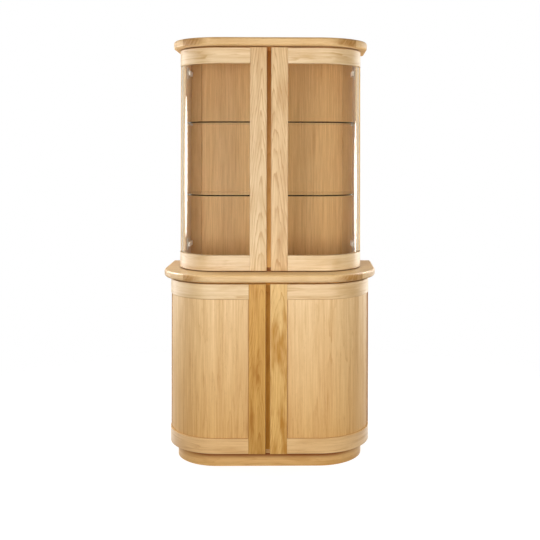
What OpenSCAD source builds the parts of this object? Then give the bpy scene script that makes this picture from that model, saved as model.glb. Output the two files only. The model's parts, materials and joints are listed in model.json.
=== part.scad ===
// Two-part display cabinet in light oak: a glazed upper unit on a closed lower unit, both with
// rounded front corners. The front faces -Y, and the origin is on the floor under the middle.

/* [Overall] */
// Height from the floor to the top of the crown
total_h = 1950; // [1800:10:2150]
// Width of the worktop, side to side
worktop_w = 1000; // [940:10:1160]
// Depth of the worktop, front edge to back edge
worktop_d = 520; // [500:10:620]
// Radius of the worktop's rounded corners; the doors, plinth and crown bend about the same centres
worktop_corner_r = 272; // [250:1:300]

/* [Plinth] */
// Height of the plinth
plinth_h = 62; // [40:1:120]
// How far the plinth stands in from the lower doors
plinth_setback = 36; // [20:1:60]
// Thickness of the plinth boards
plinth_t = 20; // [15:1:25]

/* [Lower unit] */
// Height of the lower carcase, from the plinth to the worktop
lower_h = 778; // [658:10:858]
// Thickness of the worktop
worktop_t = 34; // [28:1:45]
// How far the worktop stands out from the lower doors
worktop_overhang = 31; // [15:1:45]
// Radius that softens the edges of the worktop and the crown
board_edge_r = 11; // [3:1:13]
// Gap between the plinth's top and the lower doors' bottom
lower_door_lift = 4; // [3:1:10]
// Shadow gap between the lower doors and the worktop
lower_door_drop = 10; // [3:1:14]

/* [Upper unit] */
// How far the upper doors stand back from the worktop's front edge
upper_front_inset = 106; // [60:2:120]
// How far the upper sides stand in from the worktop's ends
upper_side_inset = 67; // [41:2:89]
// Thickness of the crown
crown_t = 38; // [28:1:45]
// How far the crown stands out from the upper doors
crown_overhang = 31; // [15:1:40]
// Gap between the worktop and the upper doors
upper_door_lift = 3; // [3:1:8]
// Shadow gap between the upper doors and the crown
upper_door_drop = 6; // [3:1:12]

/* [Boards] */
// Thickness of the carcase tops and bottoms
board_t = 18; // [15:1:22]
// Thickness of the back panels
back_t = 8; // [4:1:10]
// Depth of the rebate in the sides that takes a back panel
back_rebate = 10; // [6:1:12]
// Width of the centre posts behind the door channel
post_w = 64; // [40:2:90]
// Thickness of the centre posts
post_t = 20; // [16:1:25]
// Width of the upright battens in the rear corners of the upper unit
batten_w = 53; // [40:1:60]
// Thickness of those battens
batten_t = 12; // [8:1:18]

/* [Doors] */
// Thickness of the door frames and of the fixed sides in line with them
door_t = 22; // [20:1:25]
// Open channel between the two doors of a pair, used as a finger grip
channel_w = 19; // [12:1:30]
// Width of the stile beside the channel
centre_stile_w = 78; // [60:1:95]
// Width of the stile on the hinge side
hinge_stile_w = 80; // [70:1:95]
// Height of the lower doors' rails
lower_rail_h = 69; // [55:1:90]
// Height of the upper doors' rails
upper_rail_h = 73; // [55:1:90]
// Space between the doors' inner faces and the boards and posts behind them
door_back_gap = 3; // [2.5:0.5:5]
// Gap between a hinge stile and the fixed side behind it
hinge_gap = 3; // [2:0.5:5]
// Radius on the outer edges of the frames
frame_edge_r = 2.5; // [1:0.5:4]
// Thickness of the bent glass
glass_t = 5; // [4:0.5:6]
// Thickness of the bent wooden panels
panel_t = 8; // [6:1:9]
// Depth of the glass and the panels behind the frame's face
infill_recess = 6; // [4:0.5:7]
// Depth of the grooves that hold the glass and the panels
groove_depth = 8; // [6:1:10]
// Length of the rails' tenons
tenon_l = 26; // [18:1:34]
// Thickness of the rails' tenons
tenon_t = 8; // [6:1:9]

/* [Shelves] */
// Thickness of the glass shelves
glass_shelf_t = 6; // [5:1:8]
// Distance between the two glass shelves
glass_shelf_pitch = 342; // [250:2:400]
// Thickness of the wooden shelf in the lower unit
shelf_t = 18; // [15:1:22]
// Clearance between a shelf and the fixed sides
shelf_side_gap = 3; // [2:0.5:6]
// Space between a shelf's front edge and the centre post
shelf_post_gap = 2; // [1:0.5:6]
// Diameter of the shelf pins
pin_d = 5; // [4:0.5:7]
// Length of a shelf pin inside its board
pin_in = 9; // [7:1:11]
// Length of a shelf pin under the shelf
pin_out = 10; // [8:1:14]

/* [Hinges and catches] */
// Distance of a hinge's middle from the end of its door
hinge_inset = 96; // [92:1:140]
// Diameter of the hinge cup
cup_d = 35; // [26:1:40]
// Depth of the hinge cup
cup_depth = 12; // [10:0.5:13]
// Distance of the cup's middle from the stile's rear edge
cup_edge = 24; // [22:1:30]
// Height of the cup's flange
flange_h = 60; // [52:1:66]
// Thickness of the cup's flange
flange_t = 1.6; // [1:0.2:2.4]
// Length of the hinge arm
arm_l = 84; // [70:1:95]
// Height of the hinge arm
arm_h = 22; // [18:1:26]
// Depth of the hinge arm, out from the side
arm_out = 13; // [11:1:16]
// Diameter of the magnet catches
magnet_d = 12; // [8:1:14]
// Distance of the magnets from the ends of the doors
magnet_inset = 36; // [24:1:50]

/* [Fastenings] */
// Diameter of the assembly screws' shanks
screw_d = 4; // [3:0.5:5]
// Diameter of the assembly screws' heads
screw_head_d = 8; // [7:0.5:10]
// Length of an assembly screw's shank
screw_l = 32; // [26:1:36]

/* [Hidden] */
$fn = 96;
fit = 0.2;
sheet_t = 1.5;
cut = 1;

back_y = worktop_d / 2;
work_hw = worktop_w / 2;
work_front = -back_y;
front_half = work_hw - worktop_corner_r;
lower_hw = work_hw - worktop_overhang;
lower_front = work_front + worktop_overhang;
plinth_hw = lower_hw - plinth_setback;
plinth_front_y = lower_front + plinth_setback;
upper_hw = work_hw - upper_side_inset;
upper_front = work_front + upper_front_inset;
crown_hw = upper_hw + crown_overhang;
crown_front = upper_front - crown_overhang;

worktop_z = plinth_h + lower_h;
upper_z = worktop_z + worktop_t;
crown_z = total_h - crown_t;
carcase_back = back_y - back_t;
pin_r = pin_d / 2;
hole_d = pin_d + fit;
stile_end = channel_w / 2 + centre_stile_w;
door_depth = door_t + door_back_gap;

// Each unit: half width, door face, carcase bottom, carcase top, door bottom, door top,
// thickness of what the frames hold, height of the rails
LOWER = [lower_hw, lower_front, plinth_h, worktop_z,
    plinth_h + lower_door_lift, worktop_z - lower_door_drop, panel_t, lower_rail_h];
UPPER = [upper_hw, upper_front, upper_z, crown_z,
    upper_z + upper_door_lift, crown_z - upper_door_drop, glass_t, upper_rail_h];

function half_w(u) = u[0];
function face_y(u) = u[1];
function base_z(u) = u[2];
function roof_z(u) = u[3];
function door_z0(u) = u[4];
function door_z1(u) = u[5];
function infill_t(u) = u[6];
function rail_h(u) = u[7];
function corner_r(u) = half_w(u) - front_half;
function corner_y(u) = face_y(u) + corner_r(u);
function door_end(u) = corner_y(u) + hinge_stile_w;
function side_start(u) = door_end(u) + hinge_gap;
function inner_x(u) = half_w(u) - door_t;
function post_front(u) = face_y(u) + door_depth;
function post_back(u) = post_front(u) + post_t;
function cup_y(u) = door_end(u) - cup_edge;
function hinge_heights(u) = [door_z0(u) + hinge_inset, door_z1(u) - hinge_inset];
function magnet_heights(u) = [door_z0(u) + magnet_inset, door_z1(u) - magnet_inset];
function floor_z(u) = base_z(u) + board_t;
function ceiling_z(u) = roof_z(u) - board_t;

function shelf_back(u) = carcase_back - fit - (u == UPPER ? batten_t : 0);

// Underside of a glass shelf: -1 is the lower one and 1 the upper one
upper_middle = (floor_z(UPPER) + ceiling_z(UPPER)) / 2;
function glass_shelf_z(side) = upper_middle + (side * glass_shelf_pitch - glass_shelf_t) / 2;
shelf_z = (floor_z(LOWER) + ceiling_z(LOWER) - shelf_t) / 2;

oak = "#dcb98a";
oak_dark = "#c9a06c";
oak_inside = "#b98d5c";
steel = "#b9bcc0";

module flip() mirror([1, 0, 0]) children();

module both_sides() {
    children();
    flip() children();
}

// Sweeps a section along the right half of a rounded front: the straight front from x_start,
// the corner, then the side back to y_end. In the section, x is the depth in from the outer face.
module sweep_half(hw, front, r, x_start, y_end) {
    centre_x = hw - r;
    centre_y = front + r;
    translate([x_start, front, 0]) rotate([90, 0, 90])
        linear_extrude(centre_x - x_start) children();
    translate([centre_x, centre_y, 0]) rotate([0, 0, -90])
        rotate_extrude(angle = 90) translate([r, 0]) mirror([1, 0]) children();
    if (y_end > centre_y)
        translate([hw, y_end, 0]) flip() rotate([90, 0, 0])
            linear_extrude(y_end - centre_y) children();
}

// Section of a strip that starts "inset" behind the outer face
module strip_section(inset, t, z0, z1) translate([inset, z0]) square([t, z1 - z0]);

// Section whose two outer corners are rounded
module soft_section(t, z0, z1, r) {
    translate([r, z0]) square([t - r, z1 - z0]);
    translate([0, z0 + r]) square([t, z1 - z0 - 2 * r]);
    for (z = [z0 + r, z1 - r]) translate([r, z]) circle(r);
}

// Plan outline of a board with rounded front corners
module rounded_outline(hw, front, back, r) {
    translate([-hw, front + r]) square([2 * hw, back - front - r]);
    translate([r - hw, front]) square([2 * (hw - r), back - front]);
    for (x = [r - hw, hw - r]) translate([x, front + r]) intersection() {
        circle(r);
        translate([-r, -r]) square([2 * r, r]);
    }
}

// A flat board with rounded front corners and soft edges: a rim, and a core that fills it
rim_w = 60;
module soft_board(hw, front, back, z0, z1, r, edge_r) {
    inset = rim_w - cut;
    both_sides() sweep_half(hw, front, r, -cut, back) soft_section(rim_w, z0, z1, edge_r);
    translate([0, 0, z0]) linear_extrude(z1 - z0)
        rounded_outline(hw - inset, front + inset, back, r - inset);
}

// A plan outline extruded upright, with its front edge on the channel side rounded
module upright(x0, y0, w, t, z0, z1, r) {
    translate([0, 0, z0]) linear_extrude(z1 - z0) {
        translate([x0 + r, y0]) square([w - r, t]);
        translate([x0, y0 + r]) square([w, t - r]);
        translate([x0 + r, y0 + r]) circle(r);
    }
}

// Plinth

module plinth_front() color(oak) both_sides()
    sweep_half(plinth_hw, plinth_front_y, plinth_hw - front_half, 0, plinth_front_y + plinth_hw - front_half)
        strip_section(0, plinth_t, 0, plinth_h);

module plinth_right_side() color(oak) {
    start = plinth_front_y + plinth_hw - front_half;
    translate([plinth_hw - plinth_t, start, 0]) cube([plinth_t, back_y - start, plinth_h]);
}

module plinth_left_side() flip() plinth_right_side();

module plinth_back() color(oak_inside)
    translate([plinth_t - plinth_hw, back_y - plinth_t, 0])
        cube([2 * (plinth_hw - plinth_t), plinth_t, plinth_h]);

module plinth_cross_rail() color(oak_inside) difference() {
    start = plinth_front_y + plinth_t;
    translate([-plinth_t / 2, start, 0]) cube([plinth_t, back_y - plinth_t - start, plinth_h]);
    plinth_screws(true);
}

// Carcases

// Top or bottom of a carcase: it follows the doors in front, and fits between the sides behind
module carcase_board(u, z) {
    hw = half_w(u) - door_depth;
    translate([0, 0, z]) linear_extrude(board_t)
        rounded_outline(hw, post_front(u), carcase_back, hw - front_half);
    translate([-inner_x(u), side_start(u), z])
        cube([2 * inner_x(u), carcase_back - side_start(u), board_t]);
}

module carcase_side(u) {
    w = back_y - side_start(u);
    difference() {
        translate([half_w(u), side_start(u), 0]) rotate([0, 0, 90])
            upright(0, 0, w, door_t, base_z(u), roof_z(u), frame_edge_r);
        translate([inner_x(u) - cut, carcase_back, base_z(u) - cut])
            cube([back_rebate + cut, back_t + cut, roof_z(u) - base_z(u) + 2 * cut]);
        side_pin_places(u) rotate([0, 90, 0]) cylinder(d = hole_d, h = pin_in + fit);
    }
}

module back_panel(u) {
    hw = inner_x(u) + back_rebate - fit;
    translate([-hw, carcase_back, base_z(u)])
        cube([2 * hw, back_t, roof_z(u) - base_z(u)]);
}

module centre_post(u) difference() {
    translate([-post_w / 2, post_front(u), floor_z(u)])
        cube([post_w, post_t, ceiling_z(u) - floor_z(u)]);
    magnet_places(u) rotate([-90, 0, 0]) translate([0, 0, -cut])
        cylinder(d = magnet_d + fit, h = magnet_l + cut);
    post_pin_places(u) rotate([90, 0, 0]) cylinder(d = hole_d, h = pin_in + fit);
}

// Heights of the shelves' undersides in a unit
function shelf_seats(u) = u == UPPER ? [glass_shelf_z(-1), glass_shelf_z(1)] : [shelf_z];

// Shelf pins stand in the sides near their front and back, and in the back of the centre post
side_pin_edge = 18;
post_pin_spread = 20;

module side_pin_places(u) for (z = shelf_seats(u))
    for (y = [side_start(u) + side_pin_edge, shelf_back(u) - side_pin_edge])
        translate([inner_x(u), y, z - pin_r]) children();

module post_pin_places(u) for (z = shelf_seats(u))
    for (x = [-post_pin_spread, post_pin_spread])
        translate([x, post_back(u), z - pin_r]) children();

module shelf_pins(u) color(steel) {
    both_sides() side_pin_places(u) rotate([0, 90, 0]) translate([0, 0, -pin_out])
        cylinder(d = pin_d, h = pin_out + pin_in);
    post_pin_places(u) rotate([90, 0, 0]) translate([0, 0, -pin_out])
        cylinder(d = pin_d, h = pin_out + pin_in);
}

// A shelf with its front edges softened
shelf_edge_r = 1;
module shelf_board(u, z, t) {
    hw = inner_x(u) - shelf_side_gap;
    soft_board(hw, post_back(u) + shelf_post_gap, shelf_back(u), z, z + t,
        hw - front_half, shelf_edge_r);
}

module lower_bottom_panel() color(oak_inside) difference() {
    carcase_board(LOWER, base_z(LOWER));
    plinth_screws(true);
}
module lower_top_panel() color(oak_inside) difference() {
    carcase_board(LOWER, ceiling_z(LOWER));
    worktop_screws(true);
}
module lower_right_side() color(oak) carcase_side(LOWER);
module lower_left_side() flip() lower_right_side();
module lower_back_panel() color(oak_inside) back_panel(LOWER);
module lower_centre_post() color(oak_dark) centre_post(LOWER);
module lower_shelf() color(oak_inside) shelf_board(LOWER, shelf_z, shelf_t);
module lower_shelf_pins() shelf_pins(LOWER);

module worktop() color(oak) difference() {
    soft_board(work_hw, work_front, back_y, worktop_z, upper_z, worktop_corner_r, board_edge_r);
    worktop_screws(true);
    joining_screws(true);
}

module upper_bottom_panel() color(oak_inside) difference() {
    carcase_board(UPPER, base_z(UPPER));
    joining_screws(true);
}
module upper_top_panel() color(oak_inside) difference() {
    carcase_board(UPPER, ceiling_z(UPPER));
    crown_screws(true);
}
module upper_right_side() color(oak) carcase_side(UPPER);
module upper_left_side() flip() upper_right_side();
module upper_back_panel() color(oak_inside) back_panel(UPPER);
module upper_rear_battens() color(oak_dark) both_sides()
    translate([inner_x(UPPER) - batten_w, carcase_back - batten_t, floor_z(UPPER)])
        cube([batten_w, batten_t, ceiling_z(UPPER) - floor_z(UPPER)]);
module upper_centre_post() color(oak_dark) centre_post(UPPER);
module lower_glass_shelf() color("#9fd0c0", 0.5) shelf_board(UPPER, glass_shelf_z(-1), glass_shelf_t);
module upper_glass_shelf() color("#9fd0c0", 0.5) shelf_board(UPPER, glass_shelf_z(1), glass_shelf_t);
module glass_shelf_pins() shelf_pins(UPPER);

module crown_top() color(oak) difference() {
    soft_board(crown_hw, crown_front, back_y, crown_z, total_h, crown_hw - front_half, board_edge_r);
    crown_screws(true);
}

// Screws

head_t = 3;

// One screw that points up from the face that its head is sunk in; as a hole, it is a fit wider
module screw(hole) {
    gap = hole ? fit : 0;
    start = hole ? cut : 0;
    translate([0, 0, -start]) cylinder(d = screw_head_d + gap, h = head_t + start);
    cylinder(d = screw_d + gap, h = head_t + screw_l + gap);
}

// Four places near the corners of a unit's board; the screws that join the two units stand
// further in than the worktop's own
screw_edge = 40;
module corner_places(u, z, spread = front_half) for (x = [-spread, spread])
    for (y = [corner_y(u), carcase_back - screw_edge])
        translate([x, y, z]) children();

module worktop_screws(hole) corner_places(LOWER, ceiling_z(LOWER)) screw(hole);
module crown_screws(hole) corner_places(UPPER, ceiling_z(UPPER)) screw(hole);
module joining_screws(hole) corner_places(UPPER, floor_z(UPPER), front_half - screw_edge)
    mirror([0, 0, 1]) screw(hole);
module plinth_screws(hole) for (y = [plinth_front_y + 3 * plinth_t, back_y - 3 * plinth_t])
    translate([0, y, floor_z(LOWER)]) mirror([0, 0, 1]) screw(hole);

module assembly_screws() color(steel) {
    plinth_screws(false);
    worktop_screws(false);
    crown_screws(false);
    joining_screws(false);
}

// Doors, all drawn for the right side

// Step from a rail's edges to its tenon
rail_shoulder = 12;

module front_tenon(u, z0, gap) {
    y = face_y(u) + (door_t - tenon_t) / 2;
    translate([stile_end - tenon_l - gap, y - gap, z0 + rail_shoulder - gap])
        cube([tenon_l + gap, tenon_t + 2 * gap, rail_h(u) - 2 * rail_shoulder + 2 * gap]);
}

module hinge_tenon(u, z0, gap) {
    translate([half_w(u) - (door_t + tenon_t) / 2 - gap, corner_y(u), z0 + rail_shoulder - gap])
        cube([tenon_t + 2 * gap, tenon_l + gap, rail_h(u) - 2 * rail_shoulder + 2 * gap]);
}

// One groove runs round the inside of the whole frame
function groove_z0(u) = door_z0(u) + rail_h(u) - groove_depth;
function groove_z1(u) = door_z1(u) - rail_h(u) + groove_depth;

module groove(u) sweep_half(half_w(u), face_y(u), corner_r(u),
    stile_end - groove_depth, corner_y(u) + groove_depth)
        strip_section(infill_recess - fit, infill_t(u) + 2 * fit, groove_z0(u), groove_z1(u));

// The bent glass or panel stands in the bottom of the groove and has play at its other edges
infill_play = 1;
module infill(u) sweep_half(half_w(u), face_y(u), corner_r(u),
    stile_end - groove_depth + 2 * fit, corner_y(u) + groove_depth - 2 * fit)
        strip_section(infill_recess, infill_t(u), groove_z0(u), groove_z1(u) - infill_play);

module rail(u, z0) {
    difference() {
        sweep_half(half_w(u), face_y(u), corner_r(u), stile_end, corner_y(u))
            soft_section(door_t, z0, z0 + rail_h(u), frame_edge_r);
        groove(u);
    }
    front_tenon(u, z0, 0);
    hinge_tenon(u, z0, 0);
}

module top_rail(u) rail(u, door_z1(u) - rail_h(u));
module bottom_rail(u) rail(u, door_z0(u));

module centre_stile(u) difference() {
    upright(channel_w / 2, face_y(u), centre_stile_w, door_t, door_z0(u), door_z1(u), frame_edge_r);
    groove(u);
    for (z = [door_z0(u), door_z1(u) - rail_h(u)]) front_tenon(u, z, fit);
    strike_places(u) rotate([90, 0, 0]) translate([0, 0, -cut])
        cylinder(d = magnet_d + fit, h = sheet_t + cut);
}

module hinge_stile(u) difference() {
    translate([half_w(u), door_end(u), 0]) rotate([0, 0, 90]) mirror([1, 0, 0])
        upright(0, 0, hinge_stile_w, door_t, door_z0(u), door_z1(u), frame_edge_r);
    groove(u);
    for (z = [door_z0(u), door_z1(u) - rail_h(u)]) hinge_tenon(u, z, fit);
    hinge_places(u) rotate([0, 90, 0]) translate([0, 0, -cut])
        cylinder(d = cup_d + fit, h = cup_depth + fit + cut);
}

// Hinges

module hinge_places(u) for (z = hinge_heights(u)) translate([inner_x(u), cup_y(u), z]) children();

cup_wall = 1.2;
flange_w = 16;

module hinge_cup() rotate([0, 90, 0]) difference() {
    union() {
        translate([0, 0, -flange_t]) linear_extrude(flange_t) {
            circle(d = cup_d + 2 * sheet_t);
            square([flange_h - flange_w, flange_w], center = true);
            for (side = [-1, 1]) translate([side * (flange_h - flange_w) / 2, 0]) circle(d = flange_w);
        }
        cylinder(d = cup_d, h = cup_depth);
    }
    translate([0, 0, -flange_t - cut])
        cylinder(d = cup_d - 2 * cup_wall, h = cup_depth + flange_t + cut - cup_wall);
    for (side = [-1, 1]) translate([side * (flange_h - flange_w) / 2, 0, -flange_t - cut])
        cylinder(d = screw_d, h = flange_t + 2 * cut);
}

module hinge_cups(u) color(steel) hinge_places(u) hinge_cup();

// Distance of the arm from the side, length of the arm's solid nose, length of the mounting
// plate's block, and distance of that block from the side's front edge
arm_lift = flange_t + 2 * fit;
arm_nose = 14;
plate_l = 40;
plate_edge = 4;

// A folded steel arm, open towards the side panel, with a round nose over the cup
module hinge_arm() {
    w = arm_h;
    translate([-arm_lift - arm_out, 0, 0]) difference() {
        union() {
            translate([0, 0, -w / 2]) cube([arm_out, arm_l, w]);
            translate([arm_out / 2, 0, -w / 2]) cylinder(d = arm_out, h = w);
        }
        translate([sheet_t, arm_nose, -w / 2 + sheet_t])
            cube([arm_out, arm_l, w - 2 * sheet_t]);
    }
}

// The mounting plate: wings on the side panel and a block that fills the arm
module hinge_plate(u) {
    start = side_start(u) - cup_y(u) + plate_edge;
    block_h = arm_h - 2 * sheet_t - 2 * fit;
    translate([-flange_t, start, -flange_h / 2]) cube([flange_t, flange_w, flange_h]);
    translate([-arm_lift - arm_out + sheet_t, start, -block_h / 2])
        cube([arm_lift + arm_out - sheet_t, plate_l, block_h]);
}

module hinge_arms(u) color(steel) both_sides() hinge_places(u) hinge_arm();
module hinge_plates(u) color(steel) both_sides() hinge_places(u) hinge_plate(u);

// Magnet catches stand a little proud of the post and meet plates let into the doors

magnet_l = 16;
magnet_proud = door_back_gap - 2 * fit;
magnet_edge = 4;
magnet_x = (channel_w + magnet_d) / 2 + magnet_edge;

module magnet_places(u) both_sides() for (z = magnet_heights(u))
    translate([magnet_x, post_front(u), z]) children();

module strike_places(u) for (z = magnet_heights(u))
    translate([magnet_x, face_y(u) + door_t, z]) children();

module magnets(u) color(steel) magnet_places(u) rotate([-90, 0, 0]) translate([0, 0, -magnet_proud])
    cylinder(d = magnet_d, h = magnet_l + magnet_proud);

module strike_plates(u) color(steel) strike_places(u) rotate([90, 0, 0])
    cylinder(d = magnet_d, h = sheet_t);

module lower_hinge_arms() hinge_arms(LOWER);
module upper_hinge_arms() hinge_arms(UPPER);
module lower_hinge_plates() hinge_plates(LOWER);
module upper_hinge_plates() hinge_plates(UPPER);
module lower_magnets() magnets(LOWER);
module upper_magnets() magnets(UPPER);

module lower_right_centre_stile() color(oak_dark) centre_stile(LOWER);
module lower_right_hinge_stile() color(oak_dark) hinge_stile(LOWER);
module lower_right_top_rail() color(oak) top_rail(LOWER);
module lower_right_bottom_rail() color(oak) bottom_rail(LOWER);
module lower_right_panel() color(oak_dark) infill(LOWER);
module lower_right_hinge_cups() hinge_cups(LOWER);
module lower_right_strike_plates() strike_plates(LOWER);

module upper_right_centre_stile() color(oak) centre_stile(UPPER);
module upper_right_hinge_stile() color(oak) hinge_stile(UPPER);
module upper_right_top_rail() color(oak) top_rail(UPPER);
module upper_right_bottom_rail() color(oak) bottom_rail(UPPER);
module upper_right_glass() color("#9fd0c0", 0.4) infill(UPPER);
module upper_right_hinge_cups() hinge_cups(UPPER);
module upper_right_strike_plates() strike_plates(UPPER);

module lower_left_centre_stile() flip() lower_right_centre_stile();
module lower_left_hinge_stile() flip() lower_right_hinge_stile();
module lower_left_top_rail() flip() lower_right_top_rail();
module lower_left_bottom_rail() flip() lower_right_bottom_rail();
module lower_left_panel() flip() lower_right_panel();
module lower_left_hinge_cups() flip() lower_right_hinge_cups();
module lower_left_strike_plates() flip() lower_right_strike_plates();

module upper_left_centre_stile() flip() upper_right_centre_stile();
module upper_left_hinge_stile() flip() upper_right_hinge_stile();
module upper_left_top_rail() flip() upper_right_top_rail();
module upper_left_bottom_rail() flip() upper_right_bottom_rail();
module upper_left_glass() flip() upper_right_glass();
module upper_left_hinge_cups() flip() upper_right_hinge_cups();
module upper_left_strike_plates() flip() upper_right_strike_plates();

plinth_front();
plinth_left_side();
plinth_right_side();
plinth_back();
plinth_cross_rail();
lower_bottom_panel();
lower_top_panel();
lower_left_side();
lower_right_side();
lower_back_panel();
lower_centre_post();
lower_shelf();
lower_shelf_pins();
worktop();
upper_bottom_panel();
upper_top_panel();
upper_left_side();
upper_right_side();
upper_back_panel();
upper_rear_battens();
upper_centre_post();
lower_glass_shelf();
upper_glass_shelf();
glass_shelf_pins();
crown_top();
assembly_screws();
lower_hinge_arms();
upper_hinge_arms();
lower_hinge_plates();
upper_hinge_plates();
lower_magnets();
upper_magnets();
lower_left_centre_stile();
lower_left_hinge_stile();
lower_left_top_rail();
lower_left_bottom_rail();
lower_left_panel();
lower_left_hinge_cups();
lower_left_strike_plates();
lower_right_centre_stile();
lower_right_hinge_stile();
lower_right_top_rail();
lower_right_bottom_rail();
lower_right_panel();
lower_right_hinge_cups();
lower_right_strike_plates();
upper_left_centre_stile();
upper_left_hinge_stile();
upper_left_top_rail();
upper_left_bottom_rail();
upper_left_glass();
upper_left_hinge_cups();
upper_left_strike_plates();
upper_right_centre_stile();
upper_right_hinge_stile();
upper_right_top_rail();
upper_right_bottom_rail();
upper_right_glass();
upper_right_hinge_cups();
upper_right_strike_plates();
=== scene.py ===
# Oak display cabinet: the finishes, small hardware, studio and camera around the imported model
import json
import math

import bmesh
import bpy
from mathutils import Matrix, Vector


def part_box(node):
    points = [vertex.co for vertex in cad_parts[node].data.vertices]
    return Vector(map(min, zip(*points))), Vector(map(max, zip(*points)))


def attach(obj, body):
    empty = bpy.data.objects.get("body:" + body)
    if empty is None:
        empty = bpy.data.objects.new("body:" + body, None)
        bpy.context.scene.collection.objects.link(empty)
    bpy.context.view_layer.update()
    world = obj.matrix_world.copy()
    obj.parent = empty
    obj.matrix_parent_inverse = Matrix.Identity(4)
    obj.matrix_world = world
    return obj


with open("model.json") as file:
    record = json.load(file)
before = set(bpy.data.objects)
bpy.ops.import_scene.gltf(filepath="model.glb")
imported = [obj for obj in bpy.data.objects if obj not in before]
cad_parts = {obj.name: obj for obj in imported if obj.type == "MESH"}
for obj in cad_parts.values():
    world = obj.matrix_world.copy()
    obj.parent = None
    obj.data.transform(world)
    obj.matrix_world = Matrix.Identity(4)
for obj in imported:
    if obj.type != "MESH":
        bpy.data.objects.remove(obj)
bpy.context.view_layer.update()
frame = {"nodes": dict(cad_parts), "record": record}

nodes = frame["nodes"]
print("cabinet loaded:", len(nodes), "pieces")


# Small helpers for objects, materials and node trees

def addObject(name, data):
    piece = bpy.data.objects.new(name, data)
    bpy.context.scene.collection.objects.link(piece)
    return piece


def emptyTree(owner):
    owner.use_nodes = True
    owner.node_tree.nodes.clear()
    return owner.node_tree


def startMaterial(name):
    material = bpy.data.materials.new(name)
    return material, emptyTree(material)


def put(tree, kind, feeds=None, **settings):
    node = tree.nodes.new(kind)
    for name, value in settings.items():
        setattr(node, name, value)
    for socket, value in (feeds or {}).items():
        target = node.inputs[socket]
        if isinstance(value, bpy.types.NodeSocket):
            tree.links.new(value, target)
        else:
            target.default_value = value
    return node


def calc(tree, operation, *values, clamp=False):
    feeds = dict(enumerate(values))
    return put(tree, "ShaderNodeMath", feeds, operation=operation, use_clamp=clamp).outputs[0]


def hypotenuse(tree, first, second):
    squares = [calc(tree, "MULTIPLY", side, side) for side in (first, second)]
    return calc(tree, "SQRT", calc(tree, "ADD", *squares))


# The mix node finds its inputs by number: 2 and 3 are the plain values, 6 and 7 the colours
def blendFloats(tree, share, first, second):
    feeds = {"Factor": share, 2: first, 3: second}
    return put(tree, "ShaderNodeMix", feeds, data_type="FLOAT").outputs[0]


def blendColours(tree, share, first, second, how="MIX"):
    feeds = {"Factor": share, 6: first, 7: second}
    return put(tree, "ShaderNodeMix", feeds, data_type="RGBA", blend_type=how).outputs[2]


def remap(tree, value, low, high, toLow=0.0, toHigh=1.0, how="SMOOTHSTEP"):
    feeds = {"Value": value, "From Min": low, "From Max": high, "To Min": toLow, "To Max": toHigh}
    return put(tree, "ShaderNodeMapRange", feeds, interpolation_type=how).outputs["Result"]


def split(tree, value):
    return put(tree, "ShaderNodeSeparateXYZ", {0: value}).outputs


def vector(tree, x, y, z):
    return put(tree, "ShaderNodeCombineXYZ", {"X": x, "Y": y, "Z": z}).outputs[0]


def noise(tree, spot, detail=2.0, roughness=0.5):
    feeds = {"Vector": spot, "Scale": 1.0, "Detail": detail, "Roughness": roughness}
    return put(tree, "ShaderNodeTexNoise", feeds).outputs["Fac"]


def chance(tree, x, y, z):
    feeds = {"Vector": vector(tree, x, y, z)}
    return put(tree, "ShaderNodeTexWhiteNoise", feeds, noise_dimensions="3D").outputs["Value"]


def startGroup(name, inputs, outputs):
    group = bpy.data.node_groups.new(name, "ShaderNodeTree")
    for label, value in inputs.items():
        kind = "NodeSocketVector" if isinstance(value, tuple) else "NodeSocketFloat"
        group.interface.new_socket(label, in_out="INPUT", socket_type=kind).default_value = value
    for label, kind in outputs.items():
        group.interface.new_socket(label, in_out="OUTPUT", socket_type="NodeSocket" + kind)
    given = group.nodes.new("NodeGroupInput").outputs
    result = group.nodes.new("NodeGroupOutput").inputs
    return group, given, result


def placeGroup(tree, group, feeds):
    return put(tree, "ShaderNodeGroup", feeds, node_tree=group).outputs


# Camera: the photograph's own place, lens and framing

cameraView = {
    "place": (0.1618, -4.0456, 1.4365),
    "turn": -0.0152,      # radians, about the upright
    "tilt": 0.0033,
    "roll": 0.0016,
    "lens": 56.45,
    "sensor": 36.0,
    "shift": (-0.0871, -0.2282),
}


def setCamera(view):
    camera = addObject("camera", bpy.data.cameras.new("camera"))
    turn = Matrix.Rotation(view["turn"], 4, "Z")
    tilt = Matrix.Rotation(math.pi / 2 + view["tilt"], 4, "X")
    roll = Matrix.Rotation(view["roll"], 4, "Z")
    camera.matrix_world = Matrix.Translation(view["place"]) @ turn @ tilt @ roll
    camera.data.lens = view["lens"]
    camera.data.sensor_width = view["sensor"]
    camera.data.shift_x, camera.data.shift_y = view["shift"]
    bpy.context.scene.camera = camera


setCamera(cameraView)
bpy.context.scene.view_settings.view_transform = "Standard"
print("camera set")


# Shape of the rounded fronts, read from the frame

def frontShape(unit):
    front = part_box(unit + "_right_centre_stile")[0].y
    low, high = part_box(unit + "_right_hinge_stile")
    radius = low.y - front
    return {"centreX": high.x - radius, "bendY": low.y, "radius": radius}


lowerShape = frontShape("lower")
upperShape = frontShape("upper")


def unitShape(name):
    upper = name.startswith("upper") or name.startswith("crown")
    return upperShape if upper else lowerShape


# Node group: distance along a rounded front, and depth behind its face

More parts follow.
